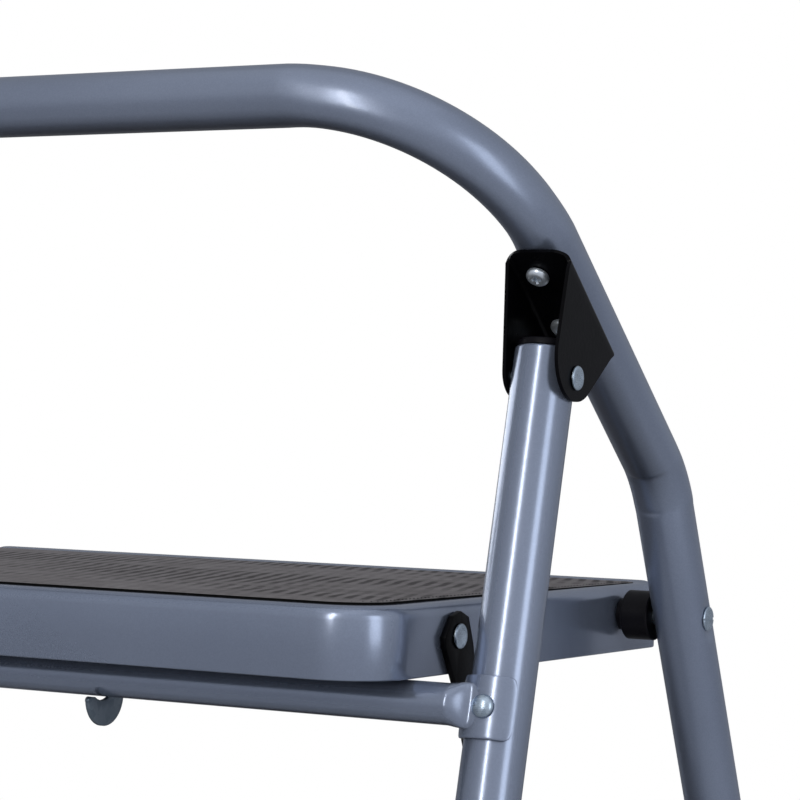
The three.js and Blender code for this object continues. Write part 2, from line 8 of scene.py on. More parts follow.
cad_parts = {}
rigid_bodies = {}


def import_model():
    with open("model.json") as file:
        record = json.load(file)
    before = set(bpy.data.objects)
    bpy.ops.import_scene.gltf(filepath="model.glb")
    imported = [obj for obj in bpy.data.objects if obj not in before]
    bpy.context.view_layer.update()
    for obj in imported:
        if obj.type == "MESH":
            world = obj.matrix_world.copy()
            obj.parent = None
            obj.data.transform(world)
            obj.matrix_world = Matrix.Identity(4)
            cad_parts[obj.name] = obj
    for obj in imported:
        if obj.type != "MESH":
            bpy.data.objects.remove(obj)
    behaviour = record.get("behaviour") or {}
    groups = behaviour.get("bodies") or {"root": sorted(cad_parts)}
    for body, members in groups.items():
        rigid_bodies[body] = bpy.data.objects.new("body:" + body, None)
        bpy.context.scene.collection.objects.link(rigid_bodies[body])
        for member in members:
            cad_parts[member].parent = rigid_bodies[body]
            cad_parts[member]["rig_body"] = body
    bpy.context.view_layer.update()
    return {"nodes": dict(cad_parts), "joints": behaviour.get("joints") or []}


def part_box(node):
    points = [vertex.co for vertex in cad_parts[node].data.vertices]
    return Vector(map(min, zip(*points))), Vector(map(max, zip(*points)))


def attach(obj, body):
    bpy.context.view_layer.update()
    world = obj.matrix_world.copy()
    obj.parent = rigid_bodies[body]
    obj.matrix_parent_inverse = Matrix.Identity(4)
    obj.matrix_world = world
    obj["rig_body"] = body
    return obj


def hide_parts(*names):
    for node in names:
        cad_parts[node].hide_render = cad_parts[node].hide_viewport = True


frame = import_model()

# ---- Places taken from the frame. Metres, +Z up, +Y towards the climber. ----
MM = 0.001
X, Y, Z = Vector((1, 0, 0)), Vector((0, 1, 0)), Vector((0, 0, 1))
SIDES = {"right": 1, "left": -1}
TREADS = ("platform", "middle_step", "lower_step")

joints = {joint["name"]: Vector(joint["pos_m"]) for joint in frame["joints"]}
pivots = {name: joints[name + "_fold"] for name in TREADS}
leg_pivot = joints["rear_frame_fold"]
hook_axis = joints["hook_swing"]


def middle(node):
    """Centre of a CAD piece's box."""
    low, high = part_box(node)
    return (low + high) / 2


TUBE_R = 12.5 * MM
TUBE_END_Z = 12 * MM
LEG_X = middle("rear_foot_right").x
LEG_SLOPE = 0.232
LEG_TOP_ABOVE_HINGE = 10.8 * MM
RAIL_X_AT_PIVOT = 216.1 * MM
RAIL_SPLAY = 0.0155
BEND_ABOVE_PIVOT = 61.7 * MM
SADDLE_Z = {"upper": 649.9 * MM, "lower": 130 * MM}

frame_low, frame_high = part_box("front_frame_tube")
HANDLE_Z = frame_high.z - TUBE_R
HANDLE_Y = frame_low.y + TUBE_R

rail_up = (pivots["platform"] - pivots["lower_step"]).normalized()
leg_up = Vector((0, LEG_SLOPE, 1)).normalized()
leg_rear = Vector((0, -leg_up.z, leg_up.y))


def rail_x(z):
    """Half the distance between the rails' centre lines at a height."""
    return RAIL_X_AT_PIVOT - RAIL_SPLAY * (z - pivots["platform"].z)


def on_rail(side, z):
    """Point of a rail's centre line, or of the middle plane when side is 0."""
    start = pivots["platform"]
    return Vector((side * rail_x(z), start.y + (z - start.z) * rail_up.y / rail_up.z, z))


def on_leg(side, z):
    return Vector((side * LEG_X, leg_pivot.y + (z - leg_pivot.z) * leg_up.y / leg_up.z, z))


BEND_Z = pivots["platform"].z + BEND_ABOVE_PIVOT
bend_point = on_rail(0, BEND_Z)
handle_up = Vector((0, HANDLE_Y - bend_point.y, HANDLE_Z - BEND_Z)).normalized()
handle_rear = Vector((0, -handle_up.z, handle_up.y))

# ---- Material building blocks ----


def node_tree(name):
    material = bpy.data.materials.new(name)
    material.use_nodes = True
    shader = material.node_tree.nodes["Principled BSDF"]
    return material, material.node_tree, shader


def object_coordinates(tree, scale=(1, 1, 1)):
    coordinates = tree.nodes.new("ShaderNodeTexCoord")
    mapping = tree.nodes.new("ShaderNodeMapping")
    mapping.inputs["Scale"].default_value = scale
    tree.links.new(coordinates.outputs["Object"], mapping.inputs["Vector"])
    return mapping.outputs["Vector"]


def noise(tree, vector, scale, detail=3, roughness=0.5):
    texture = tree.nodes.new("ShaderNodeTexNoise")
    texture.inputs["Scale"].default_value = scale
    texture.inputs["Detail"].default_value = detail
    texture.inputs["Roughness"].default_value = roughness
    tree.links.new(vector, texture.inputs["Vector"])
    return texture.outputs["Fac"]


def cells(tree, vector, scale, output="Distance"):
    texture = tree.nodes.new("ShaderNodeTexVoronoi")
    texture.inputs["Scale"].default_value = scale
    tree.links.new(vector, texture.inputs["Vector"])
    return texture.outputs[output]


def ramp(tree, factor, *stops):
    """A colour ramp with (position, grey or colour) stops."""
    node = tree.nodes.new("ShaderNodeValToRGB")
    elements = node.color_ramp.elements
    while len(elements) < len(stops):
        elements.new(0.5)
    for element, (position, color) in zip(elements, stops):
        element.position = position
        element.color = (*color, 1) if isinstance(color, tuple) else (color, color, color, 1)
    tree.links.new(factor, node.inputs["Fac"])
    return node.outputs["Color"]


def feed(tree, socket, value):
    """Gives a socket a link, a colour or a number."""
    if isinstance(value, bpy.types.NodeSocket):
        tree.links.new(value, socket)
    elif isinstance(value, tuple):
        socket.default_value = (*value, 1)
    else:
        socket.default_value = value


def mixed(tree, factor, first, second, blend="MIX"):
    node = tree.nodes.new("ShaderNodeMix")
    node.data_type = "RGBA"
    node.blend_type = blend
    for index, value in ((0, factor), (6, first), (7, second)):
        feed(tree, node.inputs[index], value)
    return node.outputs[2]


def calculated(tree, operation, *values):
    """The result of a calculation on sockets and numbers."""
    node = tree.nodes.new("ShaderNodeMath")
    node.operation = operation
    for socket, value in zip(node.inputs, values):
        feed(tree, socket, value)
    return node.outputs["Value"]


def reach_along(tree, vector, direction):
    """How far a vector reaches along a direction."""
    node = tree.nodes.new("ShaderNodeVectorMath")
    node.operation = "DOT_PRODUCT"
    node.inputs[1].default_value = direction
    tree.links.new(vector, node.inputs[0])
    return node.outputs["Value"]


def ranged(tree, value, low, high, value_low=0):
    """Maps a value from value_low..1 to low..high."""
    node = tree.nodes.new("ShaderNodeMapRange")
    node.inputs["From Min"].default_value = value_low
    node.inputs["To Min"].default_value = low
    node.inputs["To Max"].default_value = high
    tree.links.new(value, node.inputs["Value"])
    return node.outputs["Result"]


def bump(tree, shader, height, strength, distance):
    """Adds relief to a shader, on top of any it has already."""
    node = tree.nodes.new("ShaderNodeBump")
    node.inputs["Strength"].default_value = strength
    node.inputs["Distance"].default_value = distance
    tree.links.new(height, node.inputs["Height"])
    previous = shader.inputs["Normal"].links
    if previous:
        tree.links.new(previous[0].from_socket, node.inputs["Normal"])
    tree.links.new(node.outputs["Normal"], shader.inputs["Normal"])


def settings(shader, **values):
    """Sets a shader's inputs by their names in lower case with underscores."""
    for name, value in values.items():
        shader.inputs[name.replace("_", " ").title().replace("Ior", "IOR")].default_value = value


def facing(tree, z_sign):
    """1 where a face looks straight up (z_sign 1) or down (z_sign -1), 0 where it is upright."""
    normal = tree.nodes.new("ShaderNodeTexCoord").outputs["Normal"]
    return reach_along(tree, normal, (0, 0, z_sign))


def silver_paint(name, smooth, rough):
    """Silver blue-grey metallic powder coat: fine flake, soft orange peel and dark specks, with painted
    shade darkening the faces that look down.
    """
    material, tree, shader = node_tree(name)
    at = object_coordinates(tree)
    tone = ramp(tree, noise(tree, at, 9, 4), (0.3, (0.205, 0.238, 0.312)), (0.7, (0.232, 0.267, 0.345)))
    flake = ramp(tree, cells(tree, at, 2600, "Color"), (0.2, 0.86), (0.9, 1.14))
    tone = mixed(tree, 0.35, tone, flake, "MULTIPLY")
    # Painted shade: faces that look downwards are darkened, to about a fifth of the tone where they look
    # straight down.
    painted_underside_shade = ramp(tree, facing(tree, -1), (0.5, 1.0), (0.85, 0.6), (1.0, 0.22))
    tone = mixed(tree, 1.0, tone, painted_underside_shade, "MULTIPLY")
    speck = ramp(tree, cells(tree, at, 75), (0.030, 1.0), (0.045, 0.0))
    sparse = ramp(tree, noise(tree, at, 31, 1), (0.60, 0.0), (0.63, 1.0))
    speck = mixed(tree, 1.0, speck, sparse, "MULTIPLY")
    tree.links.new(mixed(tree, speck, tone, (0.020, 0.018, 0.017)), shader.inputs["Base Color"])
    grain = noise(tree, at, 420, 2)
    tree.links.new(ranged(tree, grain, smooth, rough), shader.inputs["Roughness"])
    settings(shader, metallic=0.72, coat_weight=0.2, coat_roughness=0.1)
    bump(tree, shader, noise(tree, at, 230, 2), 0.06, 0.0004)
    bump(tree, shader, noise(tree, at, 1500, 2), 0.03, 0.0001)
    return material


def black_paint():
    """Glossy black powder coat on the pressed brackets and link bars."""
    material, tree, shader = node_tree("black_paint")
    at = object_coordinates(tree)
    darker, lighter = (0.0010, 0.0010, 0.0013), (0.0022, 0.0020, 0.0028)
    tone = ramp(tree, noise(tree, at, 60, 4), (0.3, darker), (0.75, lighter))
    tree.links.new(tone, shader.inputs["Base Color"])
    tree.links.new(ranged(tree, noise(tree, at, 340, 2), 0.24, 0.36), shader.inputs["Roughness"])
    settings(shader, specular_ior_level=0.05, coat_weight=0.02, coat_roughness=0.08)
    bump(tree, shader, noise(tree, at, 520, 3), 0.16, 0.0003)
    return material


def zinc():
    """Bright zinc plate with faint crystal patches and rub marks."""
    material, tree, shader = node_tree("zinc_steel")
    at = object_coordinates(tree)
    patch = ramp(tree, cells(tree, at, 420, "Color"), (0.1, (0.38, 0.46, 0.54)), (0.9, (0.52, 0.61, 0.70)))
    stain = ramp(tree, noise(tree, at, 160, 5), (0.35, 0.8), (0.7, 1.0))
    tree.links.new(mixed(tree, 0.5, patch, stain, "MULTIPLY"), shader.inputs["Base Color"])
    rubbed = noise(tree, object_coordinates(tree, (1, 14, 14)), 260, 4)
    tree.links.new(ranged(tree, rubbed, 0.2, 0.38), shader.inputs["Roughness"])
    settings(shader, metallic=1.0)
    bump(tree, shader, rubbed, 0.12, 0.0002)
    return material


def painted_bright_zinc():
    """Zinc plate of the screws made whiter and less metallic than zinc_steel: painted light standing in for
    their brighter reflection.
    """
    material, tree, shader = node_tree("painted_bright_zinc")
    at = object_coordinates(tree)
    # Painted light: a pale base colour in place of the brighter reflection on the screw heads.
    patch = ramp(tree, cells(tree, at, 500, "Color"), (0.1, (0.62, 0.68, 0.74)), (0.9, (0.82, 0.87, 0.92)))
    tree.links.new(patch, shader.inputs["Base Color"])
    tree.links.new(ranged(tree, noise(tree, at, 400, 3), 0.25, 0.4), shader.inputs["Roughness"])
    settings(shader, metallic=0.82)
    bump(tree, shader, noise(tree, at, 900, 3), 0.1, 0.0002)
    return material


def hook_steel():
    """Duller galvanised plate of the folding hooks."""
    material, tree, shader = node_tree("hook_steel")
    at = object_coordinates(tree)
    patch = ramp(tree, cells(tree, at, 300, "Color"), (0.1, (0.14, 0.175, 0.21)), (0.9, (0.2, 0.235, 0.27)))
    tree.links.new(patch, shader.inputs["Base Color"])
    tree.links.new(ranged(tree, noise(tree, at, 300, 4), 0.35, 0.5), shader.inputs["Roughness"])
    settings(shader, metallic=0.9)
    bump(tree, shader, noise(tree, at, 900, 3), 0.1, 0.0002)
    return material


def stripes(tree, vector, direction, period, wobble):
    """Soft parallel stripes, 0 to 1, square to a direction, with a given period and waviness."""
    turns = [value * 2 * math.pi / period for value in direction]
    bends = noise(tree, vector, 28, 2)
    phase = calculated(tree, "MULTIPLY_ADD", bends, wobble, reach_along(tree, vector, turns))
    return calculated(tree, "MULTIPLY_ADD", calculated(tree, "SINE", phase), 0.5, 0.5)


def mat_rubber():
    """Grey-black ribbed mat with dust on top and slanting streaks in some bands; its edges, the faces that
    do not look up, are painted near black as painted shade.
    """
    material, tree, shader = node_tree("mat_rubber")
    at = object_coordinates(tree)
    darker, lighter = (0.120, 0.111, 0.110), (0.19, 0.178, 0.178)
    dust = ramp(tree, noise(tree, at, 60, 6, 0.65), (0.3, darker), (0.75, lighter))
    slant = stripes(tree, at, direction=(0.94, 0.34, 0), period=6.6 * MM, wobble=5)
    streaks = ramp(tree, slant, (0.25, 0.42), (0.7, 1.0))
    bands = noise(tree, object_coordinates(tree, (0.5, 2.2, 1.0)), 11, 2)
    seen = ramp(tree, bands, (0.42, 0.15), (0.56, 1.0))
    tone = mixed(tree, seen, dust, mixed(tree, 1.0, dust, streaks, "MULTIPLY"))
    # Painted shade: only faces that look up keep the mat's tone, the side faces are painted near black.
    unshaded_top = ramp(tree, facing(tree, 1), (0.55, 0.0), (0.8, 1.0))
    tree.links.new(mixed(tree, unshaded_top, (0.002, 0.002, 0.002), tone), shader.inputs["Base Color"])
    tree.links.new(ranged(tree, noise(tree, at, 500, 3), 0.5, 0.75), shader.inputs["Roughness"])
    settings(shader, specular_ior_level=0.05)
    bump(tree, shader, noise(tree, at, 1100, 3), 0.3, 0.0002)
    return material


def moulded_black(name, base, smooth, rough, grain):
    """Moulded rubber or plastic with a fine grain."""
    material, tree, shader = node_tree(name)
    at = object_coordinates(tree)
    tone = ramp(tree, noise(tree, at, 45, 4), (0.3, tuple(c * 0.75 for c in base)), (0.75, base))
    tree.links.new(tone, shader.inputs["Base Color"])
    tree.links.new(ranged(tree, noise(tree, at, 380, 3), smooth, rough), shader.inputs["Roughness"])
    settings(shader, specular_ior_level=0.1)
    bump(tree, shader, noise(tree, at, grain, 3), 0.2, 0.0003)
    return material


MATERIALS = {
    "frame_paint": silver_paint("frame_paint", 0.20, 0.28),
    "hoop_paint": silver_paint("hoop_paint", 0.29, 0.36),
    "black_paint": black_paint(),
    "zinc_steel": zinc(),
    "painted_bright_zinc": painted_bright_zinc(),
    "hook_steel": hook_steel(),
    "mat_rubber": mat_rubber(),
    "foot_rubber": moulded_black("foot_rubber", (0.018, 0.018, 0.019), 0.55, 0.75, 900),
    "black_plastic": moulded_black("black_plastic", (0.0040, 0.0036, 0.0052), 0.36, 0.5, 700),
}

# ---- Mesh building blocks ----


def smooth_step(value):
    """0 to 1 with a soft start and end, for a value from 0 to 1."""
    value = max(0.0, min(1.0, value))
    return value * value * (3 - 2 * value)


def superellipse(angle, square):
    """Point of a unit circle that turns into a square as the second value grows from 2."""
    c, s = math.cos(angle), math.sin(angle)
    power = 2 / square
    return math.copysign(abs(c) ** power, c), math.copysign(abs(s) ** power, s)


def sharpen(bm, degrees):
    """Smooth shading, with hard edges where faces meet at more than an angle."""
    for face in bm.faces:
        face.smooth = True
    for edge in bm.edges:
        if len(edge.link_faces) == 2:
            edge.smooth = edge.calc_face_angle(0) < math.radians(degrees)


BEVELLED_ANGLE = 0.6  # radians between two faces


def piece(name, bm, node, material, bevel=0, degrees=32):
    """One object that stands for a CAD node and rides on its body, with the material's name as its slot."""
    if bevel:
        edges = [e for e in bm.edges if len(e.link_faces) == 2 and e.calc_face_angle(0) > BEVELLED_ANGLE]
        bmesh.ops.bevel(bm, geom=edges, offset=bevel, segments=2, profile=0.5, affect="EDGES")
    bmesh.ops.recalc_face_normals(bm, faces=bm.faces)
    sharpen(bm, degrees)
    mesh = bpy.data.meshes.new(name)
    bm.to_mesh(mesh)
    bm.free()
    mesh.materials.append(MATERIALS[material])
    made = bpy.data.objects.new(name, mesh)
    bpy.context.scene.collection.objects.link(made)
    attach(made, frame["nodes"][node]["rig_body"])
    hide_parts(node)


def add_rings(bm, rings, capped=True):
    """A skin over closed rings of points, with a face at either end."""
    rows = [[bm.verts.new(point) for point in ring] for ring in rings]
    count = len(rows[0])
    for lower, upper in zip(rows, rows[1:]):
        for i in range(count):
            j = (i + 1) % count
            bm.faces.new((lower[i], lower[j], upper[j], upper[i]))
    if capped:
        bm.faces.new(rows[0][::-1])
        bm.faces.new(rows[-1])


def across(axis):
    """Two unit directions square to axis and to each other."""
    other = X if abs(axis.x) < 0.9 else Y
    first = axis.cross(other).normalized()
    return first, axis.cross(first).normalized()


SMALLEST_RADIUS = 0.02 * MM


def lathe(bm, profile, origin, axis, sides=40, capped=True):
    """Turns (radius, height) points round an axis. A point with no radius becomes a very small ring."""
    first, second = across(axis)
    angles = [2 * math.pi * i / sides for i in range(sides)]
    spokes = [first * math.cos(angle) + second * math.sin(angle) for angle in angles]
    rings = []
    for radius, height in profile:
        centre = origin + axis * height
        rings.append([centre + spoke * max(radius, SMALLEST_RADIUS) for spoke in spokes])
    add_rings(bm, rings, capped)


def arc(centre, radius, start, end, steps):
    """Points of an arc, angles in degrees."""
    points = []
    for i in range(steps + 1):
        angle = math.radians(start + (end - start) * i / steps)
        points.append((centre[0] + radius * math.cos(angle), centre[1] + radius * math.sin(angle)))
    return points


def from_mm(points):
    """Points given in millimetres, in metres."""
    return [tuple(value * MM for value in point) for point in points]


def add_plate(bm, outline, thickness, origin, along_x, along_y, holes=()):
    """A flat plate from an outline and its holes, in millimetres, on the plane of two directions."""
    outward = along_x.cross(along_y)
    edges = []
    for points in (outline, *holes):
        verts = [bm.verts.new(origin + along_x * (x * MM) + along_y * (y * MM)) for x, y in points]
        edges += [bm.edges.new((a, b)) for a, b in zip(verts, verts[1:] + verts[:1])]
    filled = bmesh.ops.triangle_fill(bm, use_beauty=True, edges=edges, normal=outward)
    faces = [item for item in filled["geom"] if isinstance(item, bmesh.types.BMFace)]
    grown = bmesh.ops.extrude_face_region(bm, geom=faces, use_keep_orig=True)
    moved = [item for item in grown["geom"] if isinstance(item, bmesh.types.BMVert)]
    bmesh.ops.translate(bm, vec=outward * (thickness * MM), verts=moved)


def circle(centre, radius, steps=20):
    return arc(centre, radius, 0, 360 * (1 - 1 / steps), steps - 1)


def mirrored(points):
    """Points, then the same points mirrored in x, in turned order."""
    return points + [(-x, y) for x, y in reversed(points)]


# ---- Bent tubes ----
# A tube bent on a machine thins a little across the bend and spreads out of its plane.
BEND_FLATTENING = 0.105
SPREAD_PER_FLATTENING = 0.4
RAIL_BEND_R, HOOP_CORNER_R = 60 * MM, 82 * MM
STRAIGHT = Vector((0, 0, 0))  # in place of the direction to a bend's centre
# Flat seats for the step bolts, and the finer rings of the rail round them, in millimetres.
SEAT_R, SEAT_DEPTH = 5.6, 0.9
SEAT_RING_STEP, SEAT_RINGS = 0.8, 14


def bent_stations(corners, bends):
    """Stations (point, direction, flattening, direction to the bend's centre) along a bent line."""
    stations = [(corners[0], (corners[1] - corners[0]).normalized(), 0, STRAIGHT)]
    for i, (radius, steps) in enumerate(bends):
        corner = corners[i + 1]
        into = (corner - corners[i]).normalized()
        out = (corners[i + 2] - corner).normalized()
        angle = into.angle(out)
        axis = into.cross(out).normalized()
        start = corner - into * radius * math.tan(angle / 2)
        centre = start + axis.cross(into) * radius
        for k in range(steps + 1):
            turn = Matrix.Rotation(angle * k / steps, 3, axis)
            spoke = turn @ (start - centre)
            flat = BEND_FLATTENING * min(1, 3 * math.sin(math.pi * k / steps))
            stations.append((centre + spoke, turn @ into, flat, -spoke.normalized()))
    stations.append((corners[-1], (corners[-1] - corners[-2]).normalized(), 0, STRAIGHT))
    return stations


def tube_rings(stations, radius, sides):
    """Rings square to a line of stations, flattened where the line bends."""
    rings = []
    first, _ = across(stations[0][1])
    for point, way, flat, inward in stations:
        first = (first - way * first.dot(way)).normalized()
        second = way.cross(first)
        ring = []
        for i in range(sides):
            angle = 2 * math.pi * i / sides
            spoke = first * math.cos(angle) + second * math.sin(angle)
            if flat:
                side_way = way.cross(inward).normalized()
                spoke = spoke - inward * (flat * spoke.dot(inward))
                spoke = spoke + side_way * (SPREAD_PER_FLATTENING * flat * spoke.dot(side_way))
            ring.append(point + spoke * radius)
        rings.append(ring)
    return rings


def with_stops(stations, stops):
    """Adds stations to the straight runs at the given points on their centre lines."""
    result = [stations[0]]
    for before, after in zip(stations, stations[1:]):
        run = after[0] - before[0]
        for stop in sorted(stops, key=run.dot):
            share = (stop - before[0]).dot(run) / run.length_squared
            on_line = before[0] + run * share
            if 0.001 < share < 0.999 and (on_line - stop).length < 0.1 * MM:
                result.append((on_line, before[1], 0, STRAIGHT))
        result.append(after)
    return result


def press_in(bm, centre, outward, radius, depth):
    """Presses a flat seat into a tube's wall, with a soft dent round it. Radius and depth in mm."""
    seat = TUBE_R / MM - depth
    for vert in bm.verts:
        offset = (vert.co - centre) / MM
        height = offset.dot(outward)
        away = (offset - outward * height).length
        if height > 0 and away < radius * 2:
            share = 1 - smooth_step((away - radius) / radius)
            vert.co -= outward * (max(height - seat, 0) * share * MM)


def front_frame():
    """Both rails and the hoop: one tube, bent above the platform and at the hoop's corners."""
    half = [
        on_rail(1, TUBE_END_Z),
        on_rail(1, BEND_Z),
        Vector((rail_x(HANDLE_Z), HANDLE_Y, HANDLE_Z)),
    ]
    corners = half + [Vector((-p.x, p.y, p.z)) for p in reversed(half)]
    bend, corner = (RAIL_BEND_R, 16), (HOOP_CORNER_R, 36)
    stations = bent_stations(corners, [bend, corner, corner, bend])
    bolts = [(side, on_rail(side, pivot.z)) for side in (1, -1) for pivot in pivots.values()]
    heights = [SEAT_RING_STEP * ring * MM for ring in range(-SEAT_RINGS, SEAT_RINGS + 1)]
    stops = [on_rail(side, at.z + height) for side, at in bolts for height in heights]
    bm = bmesh.new()
    add_rings(bm, tube_rings(with_stops(stations, stops), TUBE_R, 64))
    for side, at in bolts:
        press_in(bm, at, X * side, SEAT_R, SEAT_DEPTH)
    piece("hoop_frame", bm, "front_frame_tube", "hoop_paint")


def rear_leg(word, side):
    """A straight tube with a slightly rolled open end above its hinge."""
    top = on_leg(side, leg_pivot.z) + leg_up * LEG_TOP_ABOVE_HINGE
    bottom = on_leg(side, TUBE_END_Z)
    length = (top - bottom).length
    rim = [(12.5, -1.2), (12.42, -0.5), (12.1, -0.1), (11.7, 0), (11.35, -0.2), (11.3, -0.8)]
    rim += [(11.3, -9), (0, -9)]
    profile = [(0, 0), (TUBE_R, 0)] + [(r * MM, length + h * MM) for r, h in rim]
    bm = bmesh.new()
    lathe(bm, profile, bottom, leg_up, 48)
    piece("leg_tube_" + word, bm, "rear_leg_" + word, "frame_paint", degrees=50)


def leg_plug(word, side):
    """A black cap with a rounded rim, pushed into the top of a leg."""
    top = on_leg(side, leg_pivot.z) + leg_up * LEG_TOP_ABOVE_HINGE
    profile = [(0, -5), (10.4, -5), (10.6, -4.6), (10.6, 0.1), (11.5, 0.1), (11.75, 0.4), (11.75, 2.0)]
    profile += [(11.5, 2.7), (10.9, 3.1), (10.0, 3.25), (9.4, 3.1), (9.1, 2.6), (0, 2.4)]
    bm = bmesh.new()
    lathe(bm, from_mm(profile), top, leg_up, 48)
    piece("leg_cap_" + word, bm, "rear_leg_plug_" + word, "black_plastic")


# ---- Cross tubes: pressed flat at the ends and wrapped round the back of the legs ----
TUBE_BEHIND_LEG = 12.9
CROSS_R = 8.1
SADDLE_IN, SADDLE_OUT = 12.75, 14.75
SADDLE_HALF_HEIGHT = 12.2
SADDLE_CORNER = 2.6
# Places across the leg, in millimetres from its middle, and angles round it.
CLOSING_START, CLOSING_LENGTH = -14, 9
FLARE_START, FLARE_LENGTH, FLARE = -16, 8, 0.8
STRAP_ANGLES, STRAP_END_ANGLE = (-61, 48), 12


def tube_end_ring(side, centre, x, sides=40):
    """A ring of the cross tube x mm from the leg's middle: round, then closing onto the strap."""
    closing = smooth_step((x - CLOSING_START) / CLOSING_LENGTH)
    front = max(TUBE_BEHIND_LEG - CROSS_R, math.sqrt(max(SADDLE_IN**2 - x * x, 0)))
    rear = TUBE_BEHIND_LEG + CROSS_R
    rear += (SADDLE_OUT - 0.2 - rear) * closing
    height = CROSS_R + FLARE * smooth_step((x - FLARE_START) / FLARE_LENGTH)
    ring = []
    for i in range(sides):
        c, s = superellipse(2 * math.pi * i / sides, 2 + 0.5 * closing)
        behind = (front + rear) / 2 + c * (rear - front) / 2
        place = centre + X * (side * x * MM) + leg_rear * (behind * MM)
        ring.append(place + leg_up * (s * height * MM))
    return ring


def strap_rings(side, centre, sides=40):
    """The flattened wall wrapped round the back of the leg, with rounded ends."""
    start, stop = STRAP_ANGLES
    near_ends = [0, 0.3, 1, 2.2, 4, 6.5, 9.5]
    angles = [start + a for a in near_ends]
    angles += list(range(start + STRAP_END_ANGLE, stop - STRAP_END_ANGLE + 1, 3))
    angles += [stop - a for a in reversed(near_ends)]
    rings = []
    for degrees in angles:
        from_end = min(degrees - start, stop - degrees, STRAP_END_ANGLE) / STRAP_END_ANGLE
        height = SADDLE_HALF_HEIGHT - SADDLE_CORNER * (1 - math.sqrt(1 - (1 - from_end) ** 2))
        turn = math.radians(degrees)
        out = X * (side * math.sin(turn)) + leg_rear * math.cos(turn)
        ring = []
        for i in range(sides):
            c, s = superellipse(2 * math.pi * i / sides, 9)
            reach = (SADDLE_IN + SADDLE_OUT) / 2 + c * (SADDLE_OUT - SADDLE_IN) / 2
            ring.append(centre + out * (reach * MM) + leg_up * (s * height * MM))
        rings.append(ring)
    return rings


def cross_tube(level):
    """A small tube between the legs, with its ends' flattened walls wrapped round them."""
    stops = [-150, -60, -24] + [-18 + 0.6 * i for i in range(28)]
    right, left = on_leg(1, SADDLE_Z[level]), on_leg(-1, SADDLE_Z[level])
    right_end = [tube_end_ring(1, right, x) for x in stops]
    left_end = [tube_end_ring(-1, left, x) for x in reversed(stops)]
    bm = bmesh.new()
    add_rings(bm, left_end + right_end)
    add_rings(bm, strap_rings(1, right))
    add_rings(bm, strap_rings(-1, left))
    piece("spreader_" + level, bm, level + "_cross_tube", "frame_paint", degrees=50)


# ---- Fasteners, in millimetres ----
RIVET_R = 3.0
RIVET_HOLE_R = RIVET_R + 0.2
PLATE_GAP = 0.3
TREAD_HALF = 187.0
SHEET = 1.5
TRAY_INSIDE = TREAD_HALF - SHEET - PLATE_GAP
LINK_PLATE = 2.5
link_pin = joints["link_bar_swing"] - pivots["platform"]


def cross_outline(size):
    """A cross with arms two sevenths of its size wide."""
    arm, half = size / 2, size / 7
    cross = [(arm, -half), (arm, half), (half, half), (half, arm), (-half, arm), (-half, half)]
    return cross + [(-x, -y) for x, y in cross]


def slot_outline(length, width):
    x, y = length / 2, width / 2
    return [(x, -y), (x, y), (-x, y), (-x, -y)]


CUTTER_ABOVE = 1.5


def recess(bm_head, origin, axis, outline, depth, taper=0.9):
    """Cuts a driver's recess into a head, from its top at origin, narrowing to its floor by taper."""
    first, second = across(axis)
    cutter_bm = bmesh.new()
    rings = []
    for height, scale in ((CUTTER_ABOVE, 1.0), (-depth, taper)):
        at = origin + axis * (height * MM)
        rings.append([at + (first * x + second * y) * (scale * MM) for x, y in outline])
    add_rings(cutter_bm, rings)
    bmesh.ops.recalc_face_normals(cutter_bm, faces=cutter_bm.faces)
    objects = []
    for name, bm in (("head", bm_head), ("cutter", cutter_bm)):
        mesh = bpy.data.meshes.new(name)
        bm.to_mesh(mesh)
        bm.free()
        objects.append(bpy.data.objects.new(name, mesh))
        bpy.context.scene.collection.objects.link(objects[-1])
    boolean = objects[0].modifiers.new("recess", "BOOLEAN")
    boolean.operation, boolean.solver, boolean.object = "DIFFERENCE", "EXACT", objects[1]
    bpy.context.view_layer.update()
    evaluated = objects[0].evaluated_get(bpy.context.evaluated_depsgraph_get())
    result = bmesh.new()
    result.from_mesh(evaluated.data)
    for made in objects:
        bpy.data.objects.remove(made)
    return result


def pan_head(radius, height, base):
    """Profile of a rounded pan head over a flat base, from rim to crown."""
    rim = [(radius - 0.15, base), (radius, base + 0.2), (radius, base + height * 0.35)]
    dome = []
    for i in range(1, 7):
        angle = math.radians(90 * i / 6)
        rise = 0.35 + 0.65 * math.sin(angle)
        dome.append((radius * (0.55 + 0.45 * math.cos(angle)), base + height * rise))
    return rim + dome + [(0, base + height)]


def bracket_screw(level, word, side, along):
    """A pan-headed screw with a cross recess, through the bracket's web into the handrail."""
    on_web = bracket_point(side * SCREW_X, along, WEB_OUTER)
    profile = [(0, -8), (2, -8), (2, 0.25)] + pan_head(radius=4.7, height=2.6, base=0.3)
    bm = bmesh.new()
    lathe(bm, from_mm(profile), on_web, handle_rear, 36)
    bmesh.ops.recalc_face_normals(bm, faces=bm.faces)
    crown = on_web + handle_rear * 2.9 * MM
    bm = recess(bm, crown, handle_rear, cross_outline(5.4), depth=1.7, taper=0.5)
    node = f"bracket_screw_{level}_{word}"
    piece(node + ".head", bm, node, "painted_bright_zinc")


def hinge_rivet(word, side):
    """The leg's pivot, with a flat head on either flange of its bracket."""
    face = WEB_OUTER + PLATE_GAP
    head = [(RIVET_R, face - 0.1), (4.7, face), (4.85, face + 0.2), (4.8, face + 0.6), (4.5, face + 0.95)]
    head += [(3.9, face + 1.1), (2.8, face + 1.0), (1.4, face + 0.85), (0, face + 0.8)]
    profile = [(r, -h) for r, h in reversed(head)] + head
    bm = bmesh.new()
    lathe(bm, from_mm(profile), on_leg(side, leg_pivot.z), X, 40)
    piece("leg_hinge_rivet_" + word, bm, "hinge_rivet_" + word, "zinc_steel")


